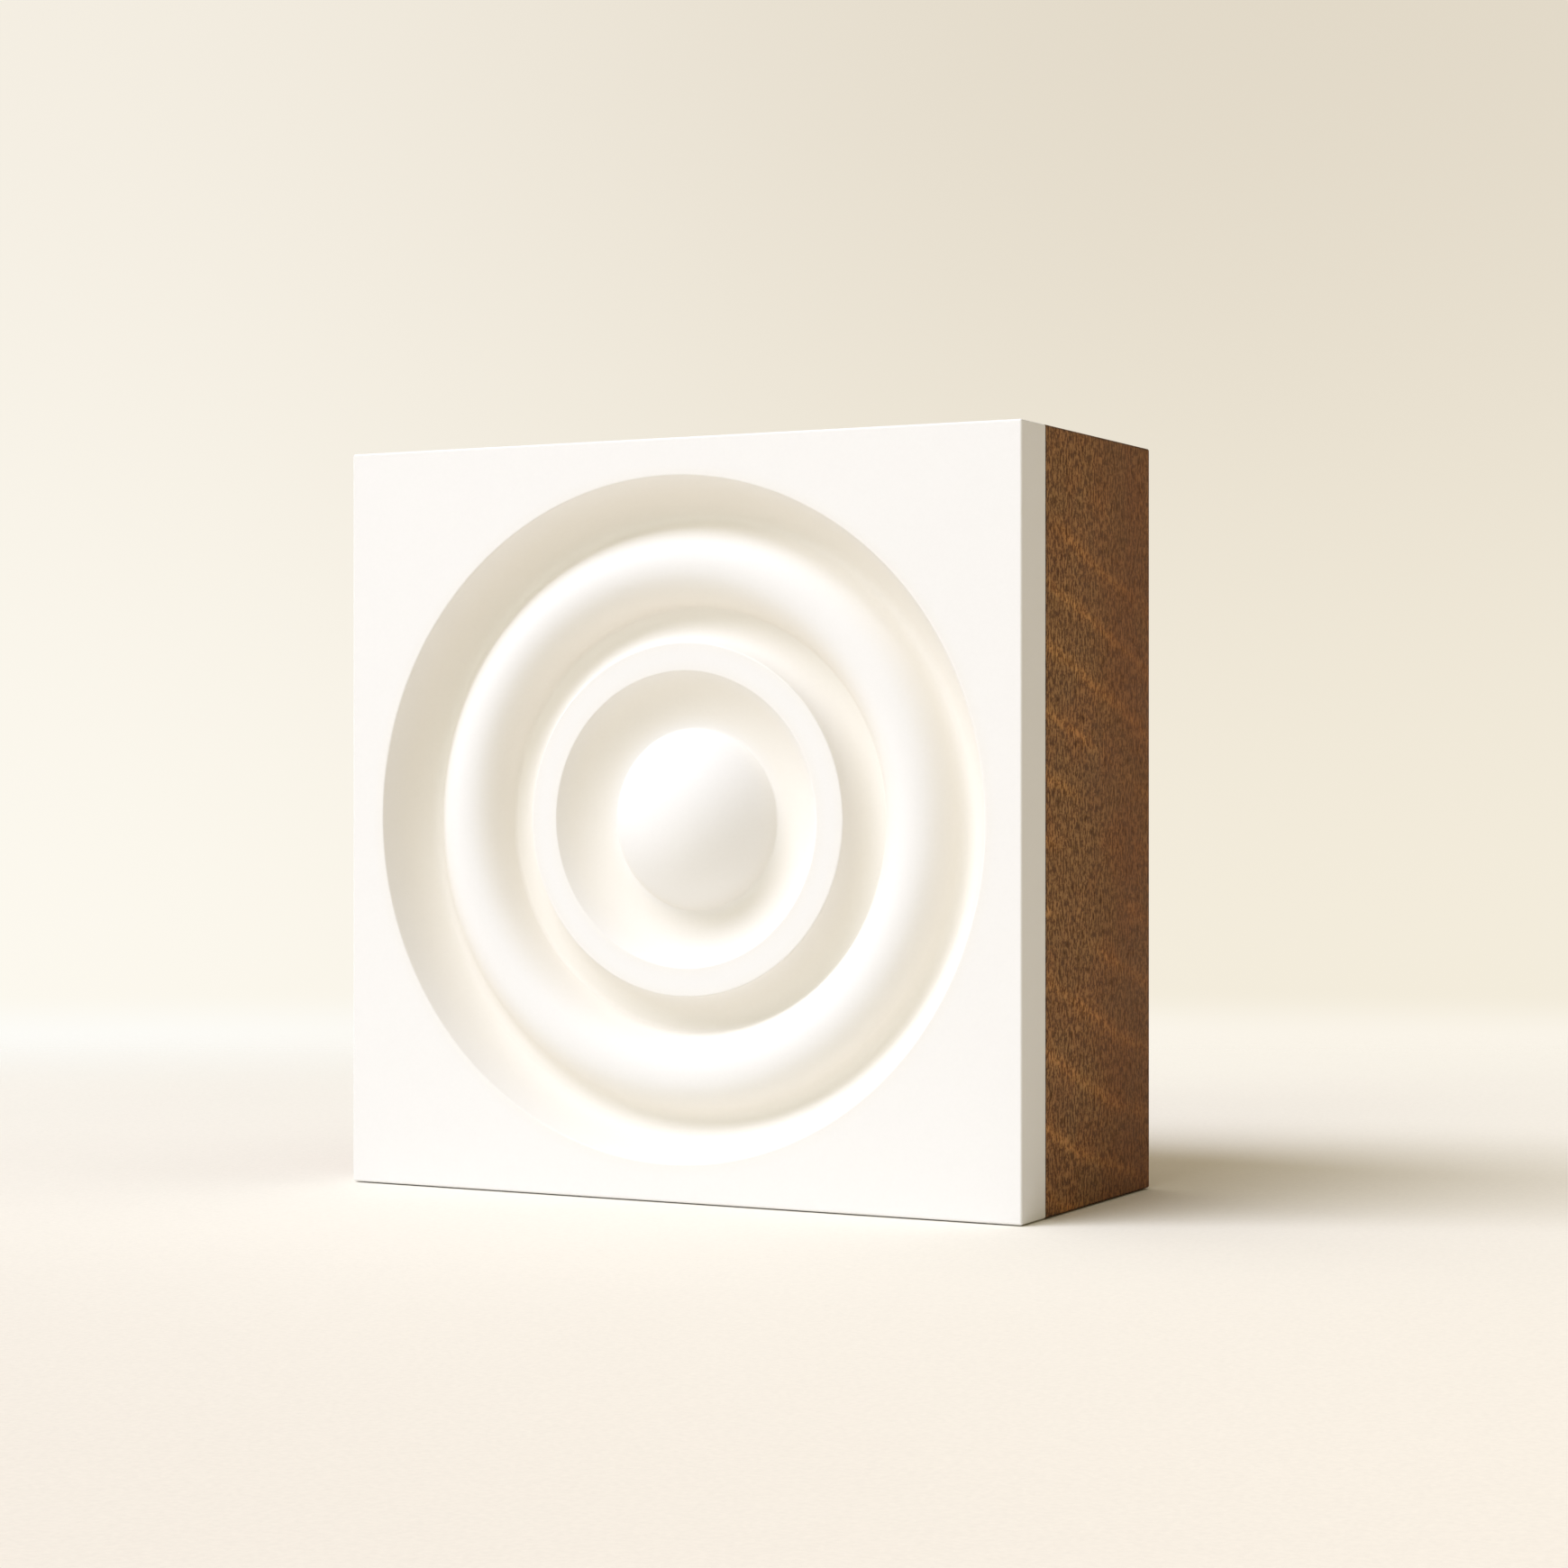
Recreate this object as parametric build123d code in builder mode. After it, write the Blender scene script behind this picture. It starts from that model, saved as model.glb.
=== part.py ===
from build123d import *
from math import sqrt
import os

# Architrave corner block: a white face board with a turned rosette, glued to a walnut block.
# Millimetres. X runs across the block, the face looks towards -Y, the wall side is +Y and Z is up.
# The origin is the middle of the underside.

# Widths of the rosette, measured outwards from its axis
dome_radius = 12.1
inner_cove_width = 7.5
ring_width = 3.8
outer_cove_width = 4.8
bead_width = 11.1
wall_width = 5.7

# Depths below the face. Every hollow is turned down to the same depth, almost through the board.
dome_setback = 0.3
ring_depth = 3.75
hollow_depth = 7.2

# Curves of the rosette
inner_cove_radius = 8.5
outer_cove_radius = 3.9
bead_rise = 4.6
wall_sag = 0.9

# Creases are filled a little, the one at the bead's outer foot the most, and arrises are eased
dome_foot_fillet = 0.4
bead_inner_fillet = 0.7
bead_outer_fillet = 1.6
turned_arris = 0.3

# The board around and behind the rosette, and the block that it is glued to
face_margin = 5.0
hollow_web = 0.4
backing_thickness = 36.0
outer_arris = 0.3

# Radii of the rosette, each one step further from the axis
ring_inner_radius = dome_radius + inner_cove_width
ring_outer_radius = ring_inner_radius + ring_width
bead_inner_radius = ring_outer_radius + outer_cove_width
bead_outer_radius = bead_inner_radius + bead_width
rosette_radius = bead_outer_radius + wall_width

# The square outline, and where the faces lie
block_side = 2 * (rosette_radius + face_margin)
plate_thickness = hollow_depth + hollow_web
front_y = -(plate_thickness + backing_thickness) / 2
joint_y = front_y + plate_thickness
centre_z = block_side / 2

# A cove is an arc that touches the hollow's depth at its floor and meets the ring at its side.
# The inner one reaches its floor beside the dome's foot.
cove_drop = hollow_depth - ring_depth
inner_floor_radius = ring_inner_radius - sqrt(cove_drop * (2 * inner_cove_radius - cove_drop))
outer_floor_radius = ring_outer_radius + sqrt(cove_drop * (2 * outer_cove_radius - cove_drop))
inner_cove_middle = dome_radius + inner_cove_width / 2


def at(radius, depth):
    """A point of the turned profile, from its distance to the axis and its depth below the face."""
    return (radius, front_y + depth)


def cove_depth(cove_radius, distance):
    """The depth of a cove's arc at a distance to the side of its floor."""
    return hollow_depth - cove_radius + sqrt(cove_radius**2 - distance**2)


def square_outline(face_y):
    """The block's square outline, on the plane of the face that looks forward at this Y."""
    with BuildSketch(Plane.XZ.offset(-face_y)) as outline:
        with Locations((0, centre_z)):
            Rectangle(block_side, block_side)
    return outline.sketch


# Where the curves of the turned profile meet, from the axis outwards
dome_top = at(0, dome_setback)
dome_foot = at(dome_radius, cove_depth(inner_cove_radius, inner_floor_radius - dome_radius))
inner_cove_flank = at(inner_cove_middle, cove_depth(inner_cove_radius, inner_cove_middle - inner_floor_radius))
ring_inner_edge = at(ring_inner_radius, ring_depth)
ring_outer_edge = at(ring_outer_radius, ring_depth)
outer_cove_floor = at(outer_floor_radius, hollow_depth)
bead_inner_foot = at(bead_inner_radius, cove_depth(outer_cove_radius, bead_inner_radius - outer_floor_radius))
bead_crest = at(bead_inner_radius + bead_width / 2, hollow_depth - bead_rise)
bead_outer_foot = at(bead_outer_radius, hollow_depth)
rosette_edge = at(rosette_radius, 0)

# The white face board: a square blank with the rosette turned out of it by one revolved cut
with BuildPart() as face_plate:
    extrude(square_outline(front_y), amount=-plate_thickness)

    with BuildSketch(Plane.XY.offset(centre_z)) as waste:
        with BuildLine():
            TangentArc(dome_top, dome_foot, tangent=(1, 0))
            ThreePointArc(dome_foot, inner_cove_flank, ring_inner_edge)
            Line(ring_inner_edge, ring_outer_edge)
            ThreePointArc(ring_outer_edge, outer_cove_floor, bead_inner_foot)
            ThreePointArc(bead_inner_foot, bead_crest, bead_outer_foot)
            SagittaArc(bead_outer_foot, rosette_edge, wall_sag)
            Polyline(rosette_edge, at(rosette_radius, -hollow_depth), at(0, -hollow_depth), dome_top)
        make_face()

        # The two arrises of the flat ring are eased, and each of the three sharp creases is filled
        ring_arrises = waste.vertices().filter_by_position(Axis.Y, ring_inner_edge[1], ring_outer_edge[1])
        fillet(ring_arrises, radius=turned_arris)
        creases = (
            (dome_foot, dome_foot_fillet),
            (bead_inner_foot, bead_inner_fillet),
            (bead_outer_foot, bead_outer_fillet),
        )
        for crease, crease_fillet in creases:
            fillet(waste.vertices().sort_by_distance(crease)[0], radius=crease_fillet)
    revolve(axis=Axis((0, 0, centre_z), (0, 1, 0)), mode=Mode.SUBTRACT)

    # Eased arrises: the rosette's rim, then the face's border and the four corners of the block
    front_edges = face_plate.faces().filter_by(Plane.XZ).sort_by(Axis.Y)[0].edges()
    fillet(front_edges.filter_by(GeomType.CIRCLE), radius=turned_arris)
    corner_edges = face_plate.edges().filter_by(Axis.Y)
    border_edges = face_plate.faces().filter_by(Plane.XZ).sort_by(Axis.Y)[0].edges().filter_by(GeomType.LINE)
    fillet(corner_edges + border_edges, radius=outer_arris)

face_plate.part.label = "face_plate"

# The walnut block, with the same corners as the board, square at the glue joint and eased at the back
with BuildPart() as backing_block:
    extrude(square_outline(joint_y), amount=-backing_thickness)
    back_edges = backing_block.faces().sort_by(Axis.Y)[-1].edges()
    fillet(backing_block.edges().filter_by(Axis.Y) + back_edges, radius=outer_arris)

backing_block.part.label = "backing_block"

os.makedirs("parts", exist_ok=True)
for piece in (face_plate.part, backing_block.part):
    export_step(piece, f"parts/{piece.label}.step")
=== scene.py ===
import logging
import math
from collections.abc import Callable, Sequence
from dataclasses import dataclass, field
from enum import Enum

import bmesh
import bpy
from mathutils import Matrix, Vector


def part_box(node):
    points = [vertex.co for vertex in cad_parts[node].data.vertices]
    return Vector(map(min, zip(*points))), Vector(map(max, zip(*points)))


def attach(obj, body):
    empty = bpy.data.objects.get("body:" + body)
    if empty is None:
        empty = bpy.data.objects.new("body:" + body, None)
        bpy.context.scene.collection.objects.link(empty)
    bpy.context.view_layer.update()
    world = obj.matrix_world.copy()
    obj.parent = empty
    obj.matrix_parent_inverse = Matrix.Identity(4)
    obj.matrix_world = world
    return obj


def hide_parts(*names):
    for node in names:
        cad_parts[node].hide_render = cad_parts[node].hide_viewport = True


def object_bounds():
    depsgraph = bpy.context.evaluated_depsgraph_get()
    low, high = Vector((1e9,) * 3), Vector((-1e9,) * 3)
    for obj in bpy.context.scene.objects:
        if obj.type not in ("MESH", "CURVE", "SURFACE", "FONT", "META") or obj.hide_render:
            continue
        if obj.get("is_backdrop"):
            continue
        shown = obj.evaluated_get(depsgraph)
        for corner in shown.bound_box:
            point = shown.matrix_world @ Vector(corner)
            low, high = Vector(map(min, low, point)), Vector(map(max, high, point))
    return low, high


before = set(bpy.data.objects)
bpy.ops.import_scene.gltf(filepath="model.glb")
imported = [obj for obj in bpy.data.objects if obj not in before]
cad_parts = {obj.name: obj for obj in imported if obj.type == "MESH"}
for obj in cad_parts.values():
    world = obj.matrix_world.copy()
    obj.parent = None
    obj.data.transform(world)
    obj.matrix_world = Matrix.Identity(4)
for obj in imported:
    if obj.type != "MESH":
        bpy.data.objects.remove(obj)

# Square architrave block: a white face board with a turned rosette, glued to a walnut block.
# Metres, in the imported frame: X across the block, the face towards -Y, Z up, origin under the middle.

MM = 0.001
ROOT_BODY = "root"
SMOOTH_BELOW = math.radians(35.0)
SQUARE_CORNER = math.radians(60.0)
NEAR = 0.01 * MM
MERGE_WITHIN = 0.001 * MM
Triple = tuple[float, float, float]
Colour = Triple
Span = tuple[float, float]

log = logging.getLogger("architrave_block")


class CadNode(str, Enum):
    """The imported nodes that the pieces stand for."""

    FACE_PLATE = "face_plate"
    BACKING_BLOCK = "backing_block"


class Slot(str, Enum):
    """The record's material slots."""

    PAINTED_FACE = "painted_face"
    WALNUT = "walnut"


class Mix(str, Enum):
    """How two colours are blended."""

    MIX = "MIX"
    MULTIPLY = "MULTIPLY"


# Node sheets


class NodeSheet:
    """A node tree with short methods for the nodes that the finishes share."""

    def __init__(self, tree: bpy.types.NodeTree) -> None:
        """Wraps a tree and clears it.

        Args:
            tree: The material, world or group tree to fill.
        """
        self.tree = tree
        self.tree.nodes.clear()

    def add(self, kind: str, **settings: object) -> bpy.types.Node:
        """Adds a node.

        Args:
            kind: Blender's name of the node type.
            settings: Properties of the node, by name.

        Returns:
            The new node.
        """
        node = self.tree.nodes.new(kind)
        for name, value in settings.items():
            setattr(node, name, value)
        return node

    def put(self, value: object, socket: bpy.types.NodeSocket) -> None:
        """Links an output to a socket, or writes a constant on it.

        Args:
            value: The output or the constant.
            socket: The input that gets it.
        """
        if isinstance(value, bpy.types.NodeSocket):
            self.tree.links.new(value, socket)
        elif isinstance(value, tuple) and len(value) == 3 and socket.type == "RGBA":
            socket.default_value = (*value, 1.0)
        else:
            socket.default_value = value

    def maths(self, operation: str, *values: object, clamp: bool = False) -> bpy.types.NodeSocket:
        """A Math node.

        Args:
            operation: The node's operation.
            values: Numbers or outputs, in the order of its inputs.
            clamp: Whether the result stays between 0 and 1.

        Returns:
            The result.
        """
        node = self.add("ShaderNodeMath", operation=operation, use_clamp=clamp)
        for socket, value in zip(node.inputs, values):
            self.put(value, socket)
        return node.outputs[0]

    def vectors(self, operation: str, *values: object) -> bpy.types.Node:
        """A Vector Math node.

        Args:
            operation: The node's operation.
            values: Vectors or outputs, in the order of its inputs.

        Returns:
            The whole node, because its result is a vector or a value.
        """
        node = self.add("ShaderNodeVectorMath", operation=operation)
        for socket, value in zip(node.inputs, values):
            self.put(value, socket)
        return node

    def step(
        self, value: object, low: float, high: float, to: tuple[float, float] = (0.0, 1.0)
    ) -> bpy.types.NodeSocket:
        """A smooth step of a value.

        Args:
            value: What is mapped.
            low: Where the step starts.
            high: Where the step ends.
            to: The results at its start and its end.

        Returns:
            The mapped value.
        """
        node = self.add("ShaderNodeMapRange", interpolation_type="SMOOTHSTEP")
        for socket, number in zip(node.inputs, (value, low, high, *to)):
            self.put(number, socket)
        return node.outputs[0]

    def blend(
        self, factor: object, first: object, second: object, how: Mix = Mix.MIX
    ) -> bpy.types.NodeSocket:
        """Blends two colours.

        Args:
            factor: The share of the second one.
            first: A colour or an output.
            second: A colour or an output.
            how: The kind of blend.

        Returns:
            The blended colour.
        """
        node = self.add("ShaderNodeMix", data_type="RGBA", blend_type=how.value)
        self.put(factor, node.inputs[0])
        self.put(first, node.inputs[6])
        self.put(second, node.inputs[7])
        return node.outputs[2]

    def noise(
        self, vector: object, scale: object, detail: float = 3.0, rough: float = 0.5
    ) -> bpy.types.NodeSocket:
        """A noise value between 0 and 1.

        Args:
            vector: The position that it reads.
            scale: Lumps per metre.
            detail: Number of finer octaves.
            rough: Strength of the finer octaves.

        Returns:
            The noise value.
        """
        node = self.add("ShaderNodeTexNoise")
        for name, value in (("Vector", vector), ("Scale", scale), ("Detail", detail), ("Roughness", rough)):
            self.put(value, node.inputs[name])
        return node.outputs[0]

    def use(self, group: bpy.types.NodeTree, **inputs: object) -> bpy.types.Node:
        """Places a node group.

        Args:
            group: The group's tree.
            inputs: Values or outputs for its inputs, with spaces in their names as underscores.

        Returns:
            The group's node.
        """
        node = self.add("ShaderNodeGroup", node_tree=group)
        for name, value in inputs.items():
            self.put(value, node.inputs[name.replace("_", " ")])
        return node

    def shade(self, colour: object, tone: object) -> bpy.types.NodeSocket:
        """Multiplies a colour by a tone.

        Args:
            colour: A colour or an output.
            tone: The output that lightens or darkens it.

        Returns:
            The toned colour.
        """
        grey = self.add("ShaderNodeCombineColor")
        for socket in grey.inputs[:3]:
            self.put(tone, socket)
        return self.blend(1.0, colour, grey.outputs[0], Mix.MULTIPLY)

    def object_position(self) -> bpy.types.NodeSocket:
        """The position on the piece, in metres."""
        return self.add("ShaderNodeTexCoord").outputs["Object"]


def new_group(
    name: str, inputs: dict[str, str], outputs: dict[str, str]
) -> tuple[NodeSheet, bpy.types.Node, bpy.types.Node]:
    """Starts a shader node group.

    Args:
        name: The group's name.
        inputs: Names of the inputs and their kinds.
        outputs: Names of the outputs and their kinds.

    Returns:
        Its sheet, its input node and its output node.
    """
    tree = bpy.data.node_groups.new(name, "ShaderNodeTree")
    for sockets, way in ((inputs, "INPUT"), (outputs, "OUTPUT")):
        for label, kind in sockets.items():
            tree.interface.new_socket(name=label, in_out=way, socket_type=f"NodeSocket{kind}")
    sheet = NodeSheet(tree)
    return sheet, sheet.add("NodeGroupInput"), sheet.add("NodeGroupOutput")


@dataclass(frozen=True)
class WalnutFigure:
    """The walnut's figure. A scale is in lumps per metre, and a span is a step's two ends."""

    fleck_scale: float = 2300.0
    tall_fleck_scale: float = 2200.0
    fleck_span: Span = (0.8, 1.2)
    fleck_stretch: Triple = (1.0, 1.0, 0.42)
    fibre_scale: float = 900.0
    fibre_stretch: Triple = (1.0, 1.0, 0.13)
    pore_scale: float = 1300.0
    pore_span: Span = (0.42, 0.3)
    hue_scale: float = 130.0
    hue_span: Span = (0.35, 0.65)
    curl_drop: float = 0.33
    curl_slant: float = 0.16
    curl_pitch: float = 8.5 * MM
    wander_scale: float = 30.0
    wander_height: float = 6.0 * MM
    line_sharpness: float = 12.0
    line_share: float = 0.7
    glow_sharpness: float = 2.0
    glow_share: float = 0.3
    fading_scale: float = 34.0
    fading_span: Span = (0.3, 0.5)


class Effects:
    """The surface effects that more than one finish uses, each built once as a node group."""

    def __init__(self) -> None:
        """Builds the groups."""
        self.mottle = self._mottle()
        self.block_edges = self._block_edges()
        self.speckle = self._speckle()
        self.turned_place = self._turned_place()
        self.walnut_figure = self._walnut_figure()

    def _mottle(self) -> bpy.types.NodeTree:
        """Soft cloudy variation about 1, for tones and gloss."""
        sheet, given, result = new_group(
            "soft_mottle", {"Position": "Vector", "Scale": "Float", "Amount": "Float"}, {"Tone": "Float"}
        )
        cloud = sheet.noise(given.outputs["Position"], given.outputs["Scale"], 4.0, 0.55)
        swing = sheet.maths("MULTIPLY", sheet.maths("SUBTRACT", cloud, 0.5), given.outputs["Amount"])
        sheet.put(sheet.maths("ADD", swing, 1.0), result.inputs["Tone"])
        return sheet.tree

    def _block_edges(self) -> bpy.types.NodeTree:
        """A mask that rises towards the straight outer edges of the block."""
        sheet, given, result = new_group(
            "block_edges",
            {"Position": "Vector", "Low": "Vector", "High": "Vector", "Reach": "Float"},
            {"Mask": "Float"},
        )
        above = sheet.vectors("SUBTRACT", given.outputs["Position"], given.outputs["Low"]).outputs[0]
        below = sheet.vectors("SUBTRACT", given.outputs["High"], given.outputs["Position"]).outputs[0]
        nearest = sheet.vectors("MINIMUM", above, below).outputs[0]
        parts = sheet.add("ShaderNodeSeparateXYZ")
        sheet.put(nearest, parts.inputs[0])
        x, y, z = parts.outputs
        # A point on a face has one distance of about nothing, so the middle one is how far an edge is
        smaller = sheet.maths("MINIMUM", x, y)
        larger = sheet.maths("MAXIMUM", x, y)
        middle = sheet.maths("MAXIMUM", smaller, sheet.maths("MINIMUM", larger, z))
        share = sheet.maths("DIVIDE", middle, given.outputs["Reach"])
        sheet.put(sheet.step(share, 0.0, 1.0, (1.0, 0.0)), result.inputs["Mask"])
        return sheet.tree

    def _speckle(self) -> bpy.types.NodeTree:
        """Fine grain of a sprayed or sanded surface, as a tone about 1 and a height."""
        sheet, given, result = new_group(
            "fine_speckle",
            {"Position": "Vector", "Scale": "Float", "Amount": "Float"},
            {"Tone": "Float", "Height": "Float"},
        )
        grain = sheet.noise(given.outputs["Position"], given.outputs["Scale"], 2.0, 0.6)
        swing = sheet.maths("MULTIPLY", sheet.maths("SUBTRACT", grain, 0.5), given.outputs["Amount"])
        sheet.put(sheet.maths("ADD", swing, 1.0), result.inputs["Tone"])
        sheet.put(grain, result.inputs["Height"])
        return sheet.tree

    def _turned_place(self) -> bpy.types.NodeTree:
        """Distance from the rosette's axis, and faint rings that the turning left."""
        sheet, given, result = new_group(
            "turned_place",
            {"Position": "Vector", "Centre Height": "Float", "Pitch": "Float"},
            {"Radius": "Float", "Rings": "Float"},
        )
        parts = sheet.add("ShaderNodeSeparateXYZ")
        sheet.put(given.outputs["Position"], parts.inputs[0])
        up = sheet.maths("SUBTRACT", parts.outputs[2], given.outputs["Centre Height"])
        across_squared = sheet.maths("POWER", parts.outputs[0], 2.0)
        squares = sheet.maths("ADD", across_squared, sheet.maths("POWER", up, 2.0))
        radius = sheet.maths("SQRT", squares)
        turns = sheet.maths("DIVIDE", radius, given.outputs["Pitch"])
        wave = sheet.maths("SINE", sheet.maths("MULTIPLY", turns, math.tau))
        sheet.put(radius, result.inputs["Radius"])
        sheet.put(sheet.maths("MULTIPLY_ADD", wave, 0.5, 0.5), result.inputs["Rings"])
        return sheet.tree

    def _walnut_figure(self) -> bpy.types.NodeTree:
        """Walnut with upright grain: dense short flecks, pores, slanting bands of curl and patches of hue."""
        sheet, given, result = new_group(
            "walnut_figure",
            {"Position": "Vector"},
            {"Flecks": "Float", "Fibre": "Float", "Pores": "Float", "Curl": "Float", "Hue": "Float"},
        )
        size = WalnutFigure()
        place = given.outputs["Position"]
        stretch = sheet.add("ShaderNodeMapping")
        sheet.put(place, stretch.inputs["Vector"])
        sheet.put(size.fleck_stretch, stretch.inputs["Scale"])
        short_flecks = sheet.noise(place, size.fleck_scale, 1.0, 0.7)
        tall_flecks = sheet.noise(stretch.outputs[0], size.tall_fleck_scale, 0.0)
        flecks = sheet.maths("ADD", short_flecks, tall_flecks)
        sheet.put(sheet.step(flecks, *size.fleck_span), result.inputs["Flecks"])
        long_stretch = sheet.add("ShaderNodeMapping")
        sheet.put(place, long_stretch.inputs["Vector"])
        sheet.put(size.fibre_stretch, long_stretch.inputs["Scale"])
        sheet.put(sheet.noise(long_stretch.outputs[0], size.fibre_scale, 2.0, 0.6), result.inputs["Fibre"])
        pores = sheet.noise(stretch.outputs[0], size.pore_scale, 1.0, 0.5)
        sheet.put(sheet.step(pores, *size.pore_span), result.inputs["Pores"])
        hue = sheet.noise(place, size.hue_scale, 2.0, 0.5)
        sheet.put(sheet.step(hue, *size.hue_span), result.inputs["Hue"])
        # Curl: bands across the grain, lower towards the back, uneven in their spacing and strength
        parts = sheet.add("ShaderNodeSeparateXYZ")
        sheet.put(place, parts.inputs[0])
        drop = sheet.maths("MULTIPLY", parts.outputs[1], size.curl_drop)
        slant = sheet.maths("MULTIPLY", parts.outputs[0], size.curl_slant)
        slope = sheet.maths("ADD", sheet.maths("ADD", parts.outputs[2], drop), slant)
        wander = sheet.noise(place, size.wander_scale, 1.0, 0.4)
        wander = sheet.maths("MULTIPLY", wander, size.wander_height)
        height = sheet.maths("ADD", slope, wander)
        wave = sheet.maths("SINE", sheet.maths("MULTIPLY", height, math.tau / size.curl_pitch))
        crest = sheet.maths("MULTIPLY_ADD", wave, 0.5, 0.5)
        line = sheet.maths("MULTIPLY", sheet.maths("POWER", crest, size.line_sharpness), size.line_share)
        glow = sheet.maths("MULTIPLY", sheet.maths("POWER", crest, size.glow_sharpness), size.glow_share)
        fading = sheet.step(sheet.noise(place, size.fading_scale, 0.0), *size.fading_span)
        sheet.put(sheet.maths("MULTIPLY", sheet.maths("ADD", line, glow), fading), result.inputs["Curl"])
        return sheet.tree


# Finishes


@dataclass(frozen=True)
class SatinPaint:
    """White satin paint on the face board, with warm shade painted into its hollows."""

    name: str = "white_satin_paint"
    white: Colour = (0.903, 0.896, 0.879)
    # Painted shade: a warmer, darker white laid across the rosette's hollows
    hollow_painted_shade: Colour = (0.897, 0.866, 0.8)
    roughness: float = 0.5
    sheen: float = 0.22
    film_height: float = 0.012 * MM
    ring_pitch: float = 0.35 * MM
    ring_share: float = 0.12
    rings_from: float = 2.0 * MM
    rings_full: float = 7.0 * MM
    painted_shade_core: float = 0.2
    painted_shade_end: float = 0.75
    cloud_scale: float = 34.0
    cloud_amount: float = 0.025
    grain_scale: float = 2600.0
    grain_amount: float = 0.03
    edge_reach: float = 0.8 * MM
    edge_polish: float = 0.08
    bump_strength: float = 0.35

    def material(
        self, effects: Effects, low: Vector, high: Vector, hollows: Sequence[tuple[float, float]]
    ) -> bpy.types.Material:
        """Makes the paint's material.

        Args:
            effects: The shared node groups.
            low: The lowest corner of the board.
            high: Its highest corner.
            hollows: Middle radius and width of each hollow of the rosette, where warm shade is painted.

        Returns:
            The material.
        """
        made = bpy.data.materials.new(self.name)
        made.use_nodes = True
        sheet = NodeSheet(made.node_tree)
        place = sheet.object_position()
        turned = sheet.use(
            effects.turned_place, Position=place, Centre_Height=(low.z + high.z) / 2, Pitch=self.ring_pitch
        )
        depth = sheet.add("ShaderNodeSeparateXYZ")
        sheet.put(place, depth.inputs[0])
        sunk = sheet.step(depth.outputs[1], low.y + self.rings_from, low.y + self.rings_full)
        colour = self.white
        # Painted shade: each hollow of the rosette is blended towards the warmer, darker white, in place of
        # the shade that falls there
        for radius, width in hollows:
            off = sheet.maths("ABSOLUTE", sheet.maths("SUBTRACT", turned.outputs["Radius"], radius))
            inside = sheet.step(off, width * self.painted_shade_core, width * self.painted_shade_end, (1.0, 0.0))
            colour = sheet.blend(inside, colour, self.hollow_painted_shade)
        broad = sheet.use(effects.mottle, Position=place, Scale=self.cloud_scale, Amount=self.cloud_amount)
        fine = sheet.use(effects.speckle, Position=place, Scale=self.grain_scale, Amount=self.grain_amount)
        edges = sheet.use(
            effects.block_edges, Position=place, Low=tuple(low), High=tuple(high), Reach=self.edge_reach
        )
        tone = sheet.maths("MULTIPLY", broad.outputs["Tone"], fine.outputs["Tone"])
        colour = sheet.shade(colour, tone)
        gloss = sheet.maths("MULTIPLY", broad.outputs["Tone"], self.roughness)
        polish = sheet.maths("MULTIPLY", edges.outputs["Mask"], self.edge_polish)
        gloss = sheet.maths("SUBTRACT", gloss, polish)
        ring_share = sheet.maths("MULTIPLY", sunk, self.ring_share)
        relief = sheet.maths("MULTIPLY", turned.outputs["Rings"], ring_share)
        relief = sheet.maths("ADD", relief, fine.outputs["Height"])
        bump = sheet.add("ShaderNodeBump")
        sheet.put(self.bump_strength, bump.inputs["Strength"])
        sheet.put(self.film_height, bump.inputs["Distance"])
        sheet.put(relief, bump.inputs["Height"])
        shader = sheet.add("ShaderNodeBsdfPrincipled")
        sheet.put(colour, shader.inputs["Base Color"])
        sheet.put(gloss, shader.inputs["Roughness"])
        sheet.put(self.sheen, shader.inputs["Specular IOR Level"])
        sheet.put(bump.outputs[0], shader.inputs["Normal"])
        sheet.put(shader.outputs[0], sheet.add("ShaderNodeOutputMaterial").inputs["Surface"])
        return made


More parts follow.
